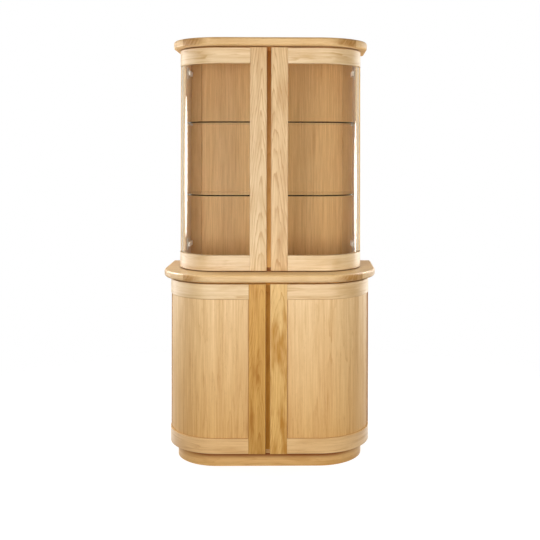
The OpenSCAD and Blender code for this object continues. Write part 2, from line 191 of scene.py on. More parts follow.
def makeBentPlace():
    tree, given, result = startGroup(
        "bent place",
        {"Place": (0.0, 0.0, 0.0), "Centre X": lowerShape["centreX"], "Bend Y": lowerShape["bendY"],
         "Radius": lowerShape["radius"]},
        {"Along": "Float", "Depth": "Float"})
    axes = split(tree, given["Place"])
    side = calc(tree, "ABSOLUTE", axes["X"])
    across = calc(tree, "MAXIMUM", calc(tree, "SUBTRACT", side, given["Centre X"]), 0.0)
    behind = calc(tree, "MAXIMUM", calc(tree, "SUBTRACT", given["Bend Y"], axes["Y"]), 0.0)
    angle = calc(tree, "ARCTAN2", across, calc(tree, "MAXIMUM", behind, 0.00001))     # never 0 over 0
    straight = calc(tree, "MINIMUM", side, given["Centre X"])
    past = calc(tree, "MAXIMUM", calc(tree, "SUBTRACT", axes["Y"], given["Bend Y"]), 0.0)
    along = calc(tree, "MULTIPLY_ADD", angle, given["Radius"], calc(tree, "ADD", straight, past))
    tree.links.new(calc(tree, "MULTIPLY", along, calc(tree, "SIGN", axes["X"])), result["Along"])
    reach = hypotenuse(tree, across, behind)
    tree.links.new(calc(tree, "SUBTRACT", given["Radius"], reach), result["Depth"])
    return tree


# Node group: strips of veneer or glued staves, each with its own tone and its own shift of the grain

staveCut = {
    "waves": 4.0,     # per metre, of the noise that makes the widths uneven
    "apart": 7.0,     # how far apart the staves can lie in the tree
}


def makeStaves():
    tree, given, result = startGroup(
        "staves",
        {"Across": 0.0, "Width": 0.09, "Seed": 0.0},
        {"Tone": "Float", "Shift": "Float", "Inside": "Float"})
    waves = calc(tree, "MULTIPLY", given["Across"], staveCut["waves"])
    uneven = noise(tree, vector(tree, waves, given["Seed"], 0.0))
    step = calc(tree, "ADD", calc(tree, "DIVIDE", given["Across"], given["Width"]), uneven)
    inside = calc(tree, "SUBTRACT", calc(tree, "FRACT", step), 0.5)
    pick = chance(tree, calc(tree, "FLOOR", step), given["Seed"], 0.5)
    tree.links.new(calc(tree, "SUBTRACT", pick, 0.5), result["Tone"])
    tree.links.new(calc(tree, "MULTIPLY", pick, staveCut["apart"]), result["Shift"])
    tree.links.new(calc(tree, "MULTIPLY", inside, given["Width"]), result["Inside"])
    return tree


# Node group: plain-sawn oak, from growth rings round a wandering heart
# Its noises have waves per metre along the grain and across it, then their detail and roughness

grainShape = {
    "seedStep": 13.7,            # how far apart two boards lie in the noise
    "sway": 1.3,                 # how quickly the heart wanders along the board
    "swayDetail": 1.0,
    "swayLanes": (2.0, 9.0),     # where its sideways and its inward wandering are read
    "uneven": (2.4, 16.0, 2.0, 0.5),
    "unevenRings": 2.6,          # how many rings these waves move
    "ripple": (5.0, 70.0, 3.0, 0.5),
    "rippleRings": 0.9,
    "lateWood": 5.0,             # the higher, the thinner the dark line of each ring
    "lateEnd": 0.94,             # share of the ring at which that line starts to end
    "fade": (7.0, 30.0, 2.0, 0.5),           # how the dark lines come and go
    "fadeTone": (0.35, 0.65, 0.35, 1.3),     # the noise from and to, and the darkness from and to
    "ringTone": (0.9, 0.5),      # how much the rings differ in darkness, and the palest
    "broadFibres": (1.1, 60.0, 3.0, 0.6),
    "broadTone": 1.5,
    "thinFibres": (5.5, 210.0, 4.0, 0.6),
    "thinTone": 2.3,
    "ground": 0.3,               # shade between the lines
    "pores": (34.0, 1300.0, 1.0, 0.6),
    "poreFrom": (0.6, 0.72),     # the noise where pores start, and where they are full
    "poreGround": 0.35,          # how far pores show outside the late wood
}


def makeOakGrain():
    tree, given, result = startGroup(
        "oak grain",
        {"Along": 0.0, "Across": 0.0, "Depth": 0.0, "Seed": 0.0, "Heart Across": 0.0, "Heart Depth": 0.03,
         "Wander": 0.03, "Taper": 0.05, "Ring Width": 0.006, "Figure": 0.6, "Streaks": 0.4},
        {"Shade": "Float", "Pores": "Float", "Height": "Float"})
    along, across, depth, seed = [given[name] for name in ("Along", "Across", "Depth", "Seed")]
    far = calc(tree, "MULTIPLY", seed, grainShape["seedStep"])

    def waves(name, layer=None):     # a layer of the noise stands in for the depth where it is given
        alongWaves, acrossWaves, detail, roughness = grainShape[name]
        if layer is None:
            layer = calc(tree, "MULTIPLY", depth, acrossWaves)
        spot = vector(tree, calc(tree, "MULTIPLY_ADD", along, alongWaves, far),
                      calc(tree, "MULTIPLY", across, acrossWaves), layer)
        return noise(tree, spot, detail, roughness)

    def sway(lane):
        slow = calc(tree, "MULTIPLY_ADD", along, grainShape["sway"], far)
        drift = noise(tree, vector(tree, slow, far, lane), grainShape["swayDetail"])
        offset = calc(tree, "SUBTRACT", drift, 0.5)
        return calc(tree, "MULTIPLY", offset, calc(tree, "MULTIPLY", given["Wander"], 2.0))

    swaySideways, swayInwards = [sway(lane) for lane in grainShape["swayLanes"]]
    sideways = calc(tree, "SUBTRACT", across, calc(tree, "ADD", given["Heart Across"], swaySideways))
    inwards = calc(tree, "ADD", depth, calc(tree, "ADD", given["Heart Depth"], swayInwards))
    reach = hypotenuse(tree, sideways, inwards)
    # The trunk is thicker towards its foot, so a ring lies further out there
    grown = calc(tree, "MULTIPLY_ADD", along, given["Taper"], reach)

    ripple = calc(tree, "MULTIPLY", waves("ripple"), grainShape["rippleRings"])
    moved = calc(tree, "MULTIPLY_ADD", waves("uneven"), grainShape["unevenRings"], ripple)
    turns = calc(tree, "ADD", calc(tree, "DIVIDE", grown, given["Ring Width"]), moved)
    ring = calc(tree, "FRACT", turns)
    late = calc(tree, "MULTIPLY", calc(tree, "POWER", ring, grainShape["lateWood"]),
                remap(tree, ring, 1.0, grainShape["lateEnd"]))
    pick = chance(tree, calc(tree, "FLOOR", turns), far, 0.0)
    faded = remap(tree, waves("fade", seed), *grainShape["fadeTone"])
    lines = calc(tree, "MULTIPLY", calc(tree, "MULTIPLY", late, faded),
                 calc(tree, "MULTIPLY_ADD", pick, *grainShape["ringTone"]))

    broad = calc(tree, "SUBTRACT", waves("broadFibres"), 0.5)
    thin = calc(tree, "SUBTRACT", waves("thinFibres"), 0.5)
    fibres = calc(tree, "MULTIPLY_ADD", broad, grainShape["broadTone"],
                  calc(tree, "MULTIPLY", thin, grainShape["thinTone"]))
    streaks = calc(tree, "MULTIPLY", fibres, given["Streaks"])
    shade = calc(tree, "MULTIPLY_ADD", lines, given["Figure"], streaks)
    tree.links.new(calc(tree, "ADD", shade, grainShape["ground"], clamp=True), result["Shade"])

    pores = remap(tree, waves("pores"), *grainShape["poreFrom"])
    poreShare = calc(tree, "ADD", late, grainShape["poreGround"], clamp=True)
    tree.links.new(calc(tree, "MULTIPLY", pores, poreShare), result["Pores"])
    tree.links.new(calc(tree, "SUBTRACT", thin, pores), result["Height"])
    return tree


# Node group: edges eased by hand, lighter where the lacquer is rubbed thin, with painted highlights along
# them

easedEdge = {
    "oakRadius": 0.0015,
    "metalRadius": 0.0006,
    "samples": 4,
    "wearAndHighlight": (0.995, 0.8),     # how near the eased normal is to the face's own, from no wear and highlight to full
}


def makeEasedEdges():
    tree, given, result = startGroup(
        "eased edges",
        {"Radius": easedEdge["oakRadius"]},
        {"Normal": "Vector", "Worn": "Float"})
    bevel = put(tree, "ShaderNodeBevel", {"Radius": given["Radius"]}, samples=easedEdge["samples"])
    eased = bevel.outputs["Normal"]
    face = put(tree, "ShaderNodeNewGeometry").outputs["Normal"]
    near = put(tree, "ShaderNodeVectorMath", {0: eased, 1: face}, operation="DOT_PRODUCT").outputs["Value"]
    tree.links.new(eased, result["Normal"])
    tree.links.new(remap(tree, near, *easedEdge["wearAndHighlight"]), result["Worn"])
    return tree


bentPlace = makeBentPlace()
staves = makeStaves()
oakGrain = makeOakGrain()
easedEdges = makeEasedEdges()
print("node groups made")


# Oak: one material for each piece, so that no two boards share their figure

oakTones = {
    "pale": (0.780, 0.540, 0.265, 1.0),
    "dark": (0.540, 0.300, 0.100, 1.0),
    "pore": (0.320, 0.150, 0.045, 1.0),
    "golden": (0.450, 0.215, 0.034, 1.0),
    # pale colour of the eased edges: worn lacquer and painted highlights
    "wearAndHighlight": (0.880, 0.690, 0.420, 1.0),
    "endGrain": (0.400, 0.195, 0.048, 1.0),
    # colour of the joint lines, which also paints the shade in gaps and grooves
    "jointAndShade": (0.210, 0.034, 0.002, 1.0),
}
oakSurface = {
    "poreTone": 0.6,
    "patchWaves": (4.5, 22.0),      # per metre, along the grain and across it
    "patchDetail": 3.0,
    "patchFrom": (0.46, 0.70),      # the noise where golden patches start, and where they are full
    "shadeRoughness": (0.12, -0.05),     # added to the piece's own value: for dark grain, and for all
    "rawFacing": (-0.2, -0.7),      # how far a face looks up, from lacquered to raw
    "rawRoughness": 0.95,
    "seamFacing": (0.3, 0.9),       # how far a face looks sideways, from the front round to the sides
    "sideSeam": 0.35,               # light reaches the joints at the sides
    "footCore": 0.4,                # share of the painted shadow line at the foot that is fully dark
    "footShadowTone": 0.9,
    "coatRoughness": 0.28,
    "bump": 0.25,
    "bumpHeight": 0.0004,
}
roundedCorner = {                   # end grain on the corners of the worktop and crown
    "facing": (0.2, 0.5),           # how far a face looks sideways where end grain starts to show
    "jointBlur": 0.001,
    "slantWaves": (110.0, -60.0),   # per metre, sideways and upwards
    "heightWaves": 30.0,
    "bands": (0.35, 0.6, 0.6, 1.0),     # the noise from and to, and the tone from and to
}
oakDefaults = {
    "run": "up",            # direction of the grain: up, upBent, along, side, board or flat
    "seed": 0.0,
    "tint": (1.0, 1.0, 1.0),
    "footLightingTint": None,       # tint at the foot of the piece, where it differs: painted light and shade that change with height
    "heartOff": 0.0,        # how far the heart of the tree lies from the middle of the board
    "heartDepth": 0.03,
    "wander": 0.03,
    "taper": 0.05,
    "ringWidth": 0.006,
    "figure": 0.5,          # how dark the growth rings are
    "streaks": 0.4,         # how dark the fibres are
    "staveWidth": 0.0,      # 0 for a single board
    "staveTone": 0.0,
    "roughness": 0.40,
    # how pale the eased edges are: wear, with painted highlights
    "wearAndHighlight": 0.30,
    "patches": 0.35,
    "seamAndShade": 0.0,            # how dark the joint lines at the ends or edges are: partly the joints' own darkness, partly painted shade in the gaps and grooves there
    "seamAxis": "X",        # X, Y, Z or more than one of them
    "seamEnds": "both",     # low, high or both
    "seamWidth": 0.0018,
    "seamCore": 0.5,        # share of that width that is fully dark
    "seamInset": 0.0,       # how much of the edge is hidden in a groove
    "footShadow": 0.0,        # height of the painted shadow line at the foot of the piece
    "corner": 0.0,          # how dark the end grain of the rounded corners is
    "cornerJoints": (-0.4, 0.4),     # end grain stops at the outer joints of the board
    "coat": 0.2,            # lacquer
    "gloss": 0.42,
    "raw": "",              # faces without lacquer: "under" for the underside, "both" for the top as well
}


# Where a point lies in its board: along the grain, across it and below the face, with the board's middle
def boardPlace(tree, spot, axes, low, high, shape, run):
    if run in ("along", "upBent"):
        bent = placeGroup(tree, bentPlace, {"Place": spot, "Centre X": shape["centreX"],
                                            "Bend Y": shape["bendY"], "Radius": shape["radius"]})
        if run == "along":
            return bent["Along"], axes["Z"], bent["Depth"], (low.z + high.z) / 2
        return axes["Z"], bent["Along"], bent["Depth"], 0.0
    if run == "side":
        outer = max(low.x, high.x, key=abs)
        fromSide = calc(tree, "ABSOLUTE", calc(tree, "SUBTRACT", axes["X"], outer))
        return axes["Z"], axes["Y"], fromSide, (low.y + high.y) / 2
    if run == "board":
        return axes["X"], axes["Y"], calc(tree, "SUBTRACT", high.z, axes["Z"]), 0.0
    fromFront = calc(tree, "SUBTRACT", axes["Y"], low.y)
    if run == "flat":
        return axes["X"], axes["Z"], fromFront, (low.z + high.z) / 2
    return axes["Z"], axes["X"], fromFront, (low.x + high.x) / 2


# Grain of a piece, and the colour of its wood before worn edges with painted highlights, joint lines with
# painted shade, and tint
def bareOak(tree, look, along, across, depth, middle):
    seed = look["seed"]
    heart = middle + look["heartOff"]
    tone = 0.0
    if look["staveWidth"] > 0:
        feeds = {"Across": across, "Width": look["staveWidth"], "Seed": seed}
        stave = placeGroup(tree, staves, feeds)
        tone = calc(tree, "MULTIPLY", stave["Tone"], look["staveTone"])
        seed = calc(tree, "ADD", stave["Shift"], seed)
        across = stave["Inside"]
        heart = 0.0
    grain = placeGroup(tree, oakGrain, {
        "Along": along, "Across": across, "Depth": depth, "Seed": seed, "Heart Across": heart,
        "Heart Depth": look["heartDepth"], "Wander": look["wander"], "Taper": look["taper"],
        "Ring Width": look["ringWidth"], "Figure": look["figure"], "Streaks": look["streaks"]})
    shade = calc(tree, "ADD", grain["Shade"], tone, clamp=True)
    colour = blendColours(tree, shade, oakTones["pale"], oakTones["dark"])
    alongWaves, acrossWaves = oakSurface["patchWaves"]
    patchSpot = vector(tree, calc(tree, "MULTIPLY", along, alongWaves),
                       calc(tree, "MULTIPLY", across, acrossWaves), look["seed"])
    patch = remap(tree, noise(tree, patchSpot, oakSurface["patchDetail"]), *oakSurface["patchFrom"])
    colour = blendColours(tree, calc(tree, "MULTIPLY", patch, look["patches"]), colour, oakTones["golden"])
    pores = calc(tree, "MULTIPLY", grain["Pores"], oakSurface["poreTone"])
    return grain, blendColours(tree, pores, colour, oakTones["pore"])


def cornerMask(tree, axes, facing, look):
    left, right = look["cornerJoints"]
    blur = roundedCorner["jointBlur"]
    board = calc(tree, "MULTIPLY", remap(tree, axes["X"], left - blur, left + blur),
                 remap(tree, axes["X"], right + blur, right - blur))
    sideways, upwards = roundedCorner["slantWaves"]
    slant = calc(tree, "MULTIPLY_ADD", axes["X"], sideways, calc(tree, "MULTIPLY", axes["Z"], upwards))
    height = calc(tree, "MULTIPLY", axes["Z"], roundedCorner["heightWaves"])
    bands = remap(tree, noise(tree, vector(tree, slant, height, 0.0)), *roundedCorner["bands"])
    bend = remap(tree, calc(tree, "ABSOLUTE", facing["X"]), *roundedCorner["facing"])
    return calc(tree, "MULTIPLY", calc(tree, "MULTIPLY", bend, board),
                calc(tree, "MULTIPLY", bands, look["corner"]))


def rawMask(tree, facing, look):
    level = facing["Z"]
    if look["raw"] == "both":
        level = calc(tree, "MULTIPLY", calc(tree, "ABSOLUTE", level), -1.0)
    return remap(tree, level, *oakSurface["rawFacing"])


# Dark lines along the ends or edges of a piece: partly dark joints, partly painted shade in the gaps and
# grooves there, weaker at the sides
def seamAndShadeMask(tree, axes, facing, low, high, look):
    edges = []
    for axis in look["seamAxis"]:
        index = "XYZ".index(axis)
        if look["seamEnds"] != "high":
            edges.append(calc(tree, "SUBTRACT", axes[axis], low[index] + look["seamInset"]))
        if look["seamEnds"] != "low":
            edges.append(calc(tree, "SUBTRACT", high[index] - look["seamInset"], axes[axis]))
    near = edges[0]
    for edge in edges[1:]:
        near = calc(tree, "MINIMUM", near, edge)
    line = remap(tree, near, look["seamWidth"], look["seamWidth"] * look["seamCore"])
    turned = calc(tree, "ABSOLUTE", facing["X"])
    sideTone = look["seamAndShade"] * oakSurface["sideSeam"]
    tone = remap(tree, turned, *oakSurface["seamFacing"], look["seamAndShade"], sideTone)
    seamAndShade = calc(tree, "MULTIPLY", line, tone)
    # Painted shadow along the foot of the piece, where it stands on what lies below
    if look["footShadow"] > 0:
        footCore = look["footShadow"] * oakSurface["footCore"]
        foot = remap(tree, axes["Z"], low.z + look["footShadow"], low.z + footCore)
        seamAndShade = calc(tree, "MAXIMUM", seamAndShade, calc(tree, "MULTIPLY", foot, oakSurface["footShadowTone"]))
    return seamAndShade


def oakMaterial(name, choices):
    look = {**oakDefaults, **choices}
    low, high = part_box(name)
    material, tree = startMaterial("oak " + name)
    coords = put(tree, "ShaderNodeTexCoord").outputs
    axes = split(tree, coords["Object"])
    facing = split(tree, coords["Normal"])
    board = boardPlace(tree, coords["Object"], axes, low, high, unitShape(name), look["run"])
    grain, colour = bareOak(tree, look, *board)
    if look["corner"] > 0:
        colour = blendColours(tree, cornerMask(tree, axes, facing, look), colour, oakTones["endGrain"])
    edges = placeGroup(tree, easedEdges, {"Radius": easedEdge["oakRadius"]})
    # Pale eased edges: worn lacquer and painted highlights
    wearAndHighlight = calc(tree, "MULTIPLY", edges["Worn"], look["wearAndHighlight"])
    colour = blendColours(tree, wearAndHighlight, colour, oakTones["wearAndHighlight"])
    rougher, smoother = oakSurface["shadeRoughness"]
    rough = calc(tree, "MULTIPLY_ADD", grain["Shade"], rougher, look["roughness"] + smoother)
    bare = []     # places without lacquer: raw faces, and the joint lines with their painted shade
    if look["raw"]:
        bare.append(rawMask(tree, facing, look))
        rough = blendFloats(tree, bare[-1], rough, oakSurface["rawRoughness"])
    # Joint lines: dark joints together with painted shade in the gaps and grooves
    if look["seamAndShade"] > 0:
        bare.append(seamAndShadeMask(tree, axes, facing, low, high, look))
        rough = blendFloats(tree, bare[-1], rough, 1.0)
        colour = blendColours(tree, bare[-1], colour, oakTones["jointAndShade"])
    coat = look["coat"]
    if coat > 0:
        for mask in bare:
            coat = calc(tree, "MULTIPLY", calc(tree, "SUBTRACT", 1.0, mask), coat)
    tint = look["tint"] + (1.0,)
    # Painted light and shade: the colour goes from the foot tint at the foot to the piece's tint at its top
    if look["footLightingTint"]:
        height = remap(tree, axes["Z"], low.z, high.z, how="LINEAR")
        tint = blendColours(tree, height, look["footLightingTint"] + (1.0,), tint)
    colour = blendColours(tree, 1.0, colour, tint, "MULTIPLY")
    bump = put(tree, "ShaderNodeBump", {
        "Height": grain["Height"], "Normal": edges["Normal"],
        "Strength": oakSurface["bump"], "Distance": oakSurface["bumpHeight"]}).outputs[0]
    shader = put(tree, "ShaderNodeBsdfPrincipled", {
        "Base Color": colour, "Roughness": rough, "Normal": bump, "Specular IOR Level": look["gloss"],
        "Coat Weight": coat, "Coat Roughness": oakSurface["coatRoughness"]})
    put(tree, "ShaderNodeOutputMaterial", {"Surface": shader.outputs[0]})
    return material


# How each kind of oak piece is cut and toned
railCut = {"run": "along", "raw": "both", "ringWidth": 0.009, "heartDepth": 0.05, "wander": 0.012,
           "taper": 0.01, "streaks": 0.5, "coat": 0.6, "wearAndHighlight": 0.5, "seamAxis": "Z"}
# tops: eased edges painted pale for the highlights along their arrises
topCut = {"run": "board", "staveWidth": 0.09, "staveTone": 0.25, "corner": 1.0, "taper": 0.01,
          "raw": "under", "wearAndHighlight": 0.6}
sideCut = {"run": "side", "ringWidth": 0.009}
oakLooks = {
    # centre stiles: dark edges of painted groove shade, pale edges of painted highlight, lighter foot of
    # painted light
    "centre_stile": {"run": "up", "ringWidth": 0.011, "figure": 1.4, "wander": 0.026, "heartDepth": 0.014,
                     "taper": 0.12, "heartOff": 0.012, "seamAndShade": 0.45, "streaks": 0.8, "coat": 0.6,
                     "wearAndHighlight": 0.6, "tint": (0.89, 0.88, 0.87), "footLightingTint": (0.95, 1.02, 1.12)},
    "hinge_stile": sideCut,
    # top rails: dark top edge, painted shade in the gap under the crown and the worktop
    "top_rail": {**railCut, "figure": 0.6, "seamAndShade": 0.5, "seamEnds": "high", "tint": (1.0, 1.07, 1.26)},
    # bottom rails: dark foot edge and line, a dark joint with painted shadow where the doors stand
    "bottom_rail": {**railCut, "figure": 0.5, "seamAndShade": 0.9, "seamEnds": "low", "footShadow": 0.0028,
                    "tint": (0.98, 1.07, 1.30)},
    # panels: dark edges of painted groove shade, and a darker foot of painted shade
    "panel": {"run": "upBent", "staveWidth": 0.036, "staveTone": 0.26, "figure": 0.3, "streaks": 0.6,
              "ringWidth": 0.007, "wander": 0.012, "heartDepth": 0.06, "taper": 0.004, "patches": 0.12,
              "tint": (1.04, 1.06, 1.14), "footLightingTint": (0.89, 0.77, 0.56), "coat": 0.1, "roughness": 0.5,
              "seamAndShade": 0.6, "seamAxis": "XZ", "seamInset": 0.0075, "seamWidth": 0.0022},
    "side": sideCut,
    "back_panel": {"run": "up", "staveWidth": 0.12, "staveTone": 0.05, "figure": 0.12, "ringWidth": 0.006,
                   "wander": 0.012, "heartDepth": 0.05, "taper": 0.004, "streaks": 0.85, "patches": 0.1,
                   "tint": (1.09, 1.01, 0.85), "footLightingTint": (1.12, 1.03, 0.83), "coat": 0.0},
    "worktop": {**topCut, "cornerJoints": (-0.384, 0.430), "coat": 0.10, "gloss": 0.25,
                "tint": (0.905, 0.935, 1.05)},
    "crown_top": {**topCut, "cornerJoints": (-0.402, 0.403), "coat": 0.15, "tint": (1.04, 1.02, 1.0)},
    # plinth front: darker, with a wide dark top band of painted shadow under the doors
    "plinth_front": {"run": "along", "tint": (0.98, 0.88, 0.70), "figure": 0.3, "taper": 0.01,
                     "seamAndShade": 0.88, "seamAxis": "Z", "seamEnds": "high", "seamWidth": 0.034,
                     "seamCore": 0.14, "gloss": 0.15},
    "plinth": {"run": "side", "tint": (0.96, 0.86, 0.68)},
    "cross": {"run": "flat"},
    # posts: dark tint, painted shade in the channel between the doors
    "post": {"run": "up", "tint": (0.76, 0.52, 0.16), "coat": 0.0, "gloss": 0.1},
    "battens": {"run": "up", "tint": (0.95, 0.86, 0.70), "coat": 0.0},
    "board": {"run": "flat", "tint": (0.93, 0.82, 0.62)},
}
# Pieces toned apart from the others of their kind: partly their own wood, partly painted light and shade
# where the lamps fall on them differently
patchyStile = {"patches": 1.0, "figure": 0.7, "wander": 0.04, "coat": 0.1, "gloss": 0.25}
insideBoard = {"seamAxis": "Y", "seamEnds": "low", "seamWidth": 0.002, "coat": 0.0}
ownLooks = {
    "lower_left_centre_stile": {**patchyStile, "tint": (0.80, 0.65, 0.345),
                                "footLightingTint": (0.74, 0.60, 0.295)},
    "lower_right_centre_stile": {**patchyStile, "tint": (0.97, 0.95, 0.82),
                                 "footLightingTint": (0.89, 0.78, 0.48)},
    "upper_left_centre_stile": {"heartOff": 0.02, "footShadow": 0.0028},
    "upper_right_centre_stile": {"heartOff": -0.018, "taper": 0.10, "wander": 0.03, "streaks": 0.9,
                                 "patches": 0.5, "footShadow": 0.0028, "tint": (0.91, 0.91, 0.91),
                                 "footLightingTint": (0.89, 0.88, 0.85)},
    # dark tint and front edge: painted shade in the gap under the crown
    "upper_top_panel": {**insideBoard, "seamAndShade": 0.3, "tint": (0.90, 0.60, 0.28), "gloss": 0.15},
    # darker and redder: painted shade in the gap under the worktop
    "lower_top_panel": {"tint": (1.05, 0.72, 0.30), "coat": 0.0, "gloss": 0.1},
    # dark tint and front edge: painted shade where it shows through the gaps of the glazed doors
    "upper_bottom_panel": {**insideBoard, "seamAndShade": 0.6, "tint": (0.84, 0.62, 0.36)},
    "lower_bottom_panel": {"coat": 0.0},
    # paler: painted light where the lamps reach them less
    "upper_left_hinge_stile": {"tint": (1.10, 1.12, 1.15)},
    "upper_right_hinge_stile": {"tint": (1.10, 1.12, 1.15)},
    # dark front edge: painted shade in the gap beside the doors
    "lower_left_hinge_stile": {"tint": (0.94, 0.86, 0.70), "seamAndShade": 0.3, "seamAxis": "Y"},
    "lower_right_hinge_stile": {"tint": (0.92, 0.83, 0.66), "seamAndShade": 0.3, "seamAxis": "Y"},
    "lower_left_panel": {"tint": (1.00, 1.02, 1.08), "footLightingTint": (0.86, 0.745, 0.53)},
    "lower_right_panel": {"tint": (1.03, 1.07, 1.18), "footLightingTint": (0.87, 0.75, 0.54)},
    # dark top edge: painted shade under the worktop
    "lower_left_top_rail": {"tint": (0.98, 1.06, 1.23), "seamAndShade": 0.22, "seamWidth": 0.004},
    "lower_right_top_rail": {"tint": (0.98, 1.04, 1.19), "seamAndShade": 0.22, "seamWidth": 0.004},
    "lower_left_bottom_rail": {"tint": (0.94, 0.88, 0.78), "footShadow": 0.0},
    "lower_right_bottom_rail": {"tint": (0.96, 0.92, 0.85), "footShadow": 0.0},
    # dark top edge: painted shade under the crown
    "upper_left_top_rail": {"tint": (1.04, 1.13, 1.34), "seamAndShade": 0.42, "seamWidth": 0.004},
    "upper_right_top_rail": {"tint": (1.07, 1.19, 1.48), "seamAndShade": 0.42, "seamWidth": 0.004},
    "upper_left_bottom_rail": {"tint": (0.96, 1.06, 1.30)},
    "upper_right_bottom_rail": {"tint": (0.99, 1.10, 1.34)},
    # dark at the top, paler at the foot: painted shade in the channel between the doors
    "upper_centre_post": {"tint": (0.51, 0.24, 0.038), "footLightingTint": (1.25, 1.08, 0.72)},
}


def oakLookOf(name):
    kinds = ("centre_stile", "hinge_stile", "top_rail", "bottom_rail", "back_panel", "worktop", "crown_top",
             "plinth_front", "post", "battens", "side")
    kind = next((ending for ending in kinds if name.endswith(ending)), "board")
    if name.endswith(("left_panel", "right_panel")):
        kind = "panel"
    if name.startswith("plinth") and kind == "side":
        kind = "plinth"
    if name in ("plinth_back", "plinth_cross_rail"):
        kind = "cross"
    return {**oakLooks[kind], **ownLooks.get(name, {})}


# Clear glass: the bent panes and the shelves

glassLook = {
    "clear": (1.0, 0.98, 0.945, 1.0),
    # warm tint in slanted views: painted reflection of the wood around the panes
    "grazingReflectionTint": (1.0, 0.93, 0.82, 1.0),
    "grazingFrom": (0.7, 0.9),                  # how slanted the view is where that tint starts and is full
    "lampShare": (0.985, 0.99, 0.985, 1.0),     # what each face lets through to light the inside
    "edge": (0.006, 0.010, 0.005, 1.0),
    "edgeFacing": (0.6, 0.2),                   # how far a face looks up: level faces, upright edges
    # paler edge where it turns sideways: painted reflection
    "edgeSideReflection": (0.20, 0.22, 0.14, 1.0),
    "sideFacing": (0.15, 0.6),                  # how far an edge looks sideways, where it is painted paler
    "ior": 1.5,
}


# Shelves: dark glass edges, painted paler with reflection where they turn sideways
def shelfEdgeColour(tree):
    facing = split(tree, put(tree, "ShaderNodeTexCoord").outputs["Normal"])
    edge = remap(tree, calc(tree, "ABSOLUTE", facing["Z"]), *glassLook["edgeFacing"])
    turned = remap(tree, calc(tree, "ABSOLUTE", facing["X"]), *glassLook["sideFacing"])
    edgeColour = blendColours(tree, turned, glassLook["edge"], glassLook["edgeSideReflection"])
    return blendColours(tree, edge, glassLook["clear"], edgeColour)


# Panes: clear, with a painted warm reflection where the view through them is slanted
def paneColour(tree):
    slanted = put(tree, "ShaderNodeLayerWeight", {"Blend": 0.5}).outputs["Facing"]
    grazingReflectionTint = remap(tree, slanted, *glassLook["grazingFrom"])
    return blendColours(tree, grazingReflectionTint, glassLook["clear"], glassLook["grazingReflectionTint"])


def glassMaterial(name, colourOf):
    material, tree = startMaterial(name)
    glass = put(tree, "ShaderNodeBsdfPrincipled", {
        "Base Color": colourOf(tree), "Roughness": 0.0, "Transmission Weight": 1.0,
        "IOR": glassLook["ior"]})
    through = put(tree, "ShaderNodeBsdfTransparent", {"Color": glassLook["lampShare"]}).outputs[0]
    path = put(tree, "ShaderNodeLightPath").outputs
    surface = glass.outputs[0]
    for ray in ("Is Shadow Ray", "Is Diffuse Ray"):     # lamps and bounced light pass straight through
        surface = put(tree, "ShaderNodeMixShader", {0: path[ray], 1: surface, 2: through}).outputs[0]
    put(tree, "ShaderNodeOutputMaterial", {"Surface": surface})
    return material


# Plated steel: nickel hinges, zinc screws, pins and magnets

metalLooks = {
    # pale cream and hardly metallic: the plating's colour, with a painted glint for the arms' bright noses
    "nickel": {"colour": (1.0, 0.95, 0.86, 1.0), "metallic": 0.2, "roughness": 0.30, "mottle": 0.08},
    # the same nickel as the arms, painted darker: painted shade beside the hinges
    "plates": {"colour": (0.60, 0.52, 0.42, 1.0), "metallic": 0.8, "roughness": 0.34, "mottle": 0.08},
    "zinc": {"colour": (0.80, 0.79, 0.75, 1.0), "metallic": 0.6, "roughness": 0.36, "mottle": 0.14},
}
plating = {
    "cloudWaves": 160.0,     # per metre
    "cloudDetail": 3.0,
    "darkest": 0.8,          # share of the colour that is left in the darkest clouds
}


def metalMaterial(name):
    look = metalLooks[name]
    material, tree = startMaterial(name)
    coords = put(tree, "ShaderNodeTexCoord").outputs["Object"]
    scaled = put(tree, "ShaderNodeVectorMath", {0: coords, 3: plating["cloudWaves"]}, operation="SCALE")
    cloudy = noise(tree, scaled.outputs[0], plating["cloudDetail"])
    dark = tuple(c * plating["darkest"] for c in look["colour"][:3]) + (1.0,)
    colour = blendColours(tree, cloudy, dark, look["colour"])
    rough = calc(tree, "MULTIPLY_ADD", cloudy, look["mottle"], look["roughness"])
    edges = placeGroup(tree, easedEdges, {"Radius": easedEdge["metalRadius"]})
    shader = put(tree, "ShaderNodeBsdfPrincipled", {
        "Base Color": colour, "Metallic": look["metallic"], "Roughness": rough, "Normal": edges["Normal"]})
    put(tree, "ShaderNodeOutputMaterial", {"Surface": shader.outputs[0]})
    return material


finishes = {
    "bent_glass": glassMaterial("bent glass", paneColour),
    "shelf_glass": glassMaterial("shelf glass", shelfEdgeColour),
    **{name: metalMaterial(name) for name in metalLooks},
}
oakSeeds = {"first": 1.0, "step": 0.37}
slotOf = {part["node"]: part["material_slot"] for part in frame["record"]["subparts"]}
for number, (name, piece) in enumerate(sorted(nodes.items())):
    slot = slotOf[name]
    if name.endswith("hinge_plates"):     # nickel too, painted darker than the arms and cups: painted shade
        slot = "plates"
    seed = oakSeeds["first"] + oakSeeds["step"] * number
    finish = finishes.get(slot) or oakMaterial(name, {"seed": seed, **oakLookOf(name)})
    piece.data.materials.clear()
    piece.data.materials.append(finish)
print("finishes given to", len(nodes), "pieces")


# Screw heads of the hinges, on the cups, mounting plates and arms

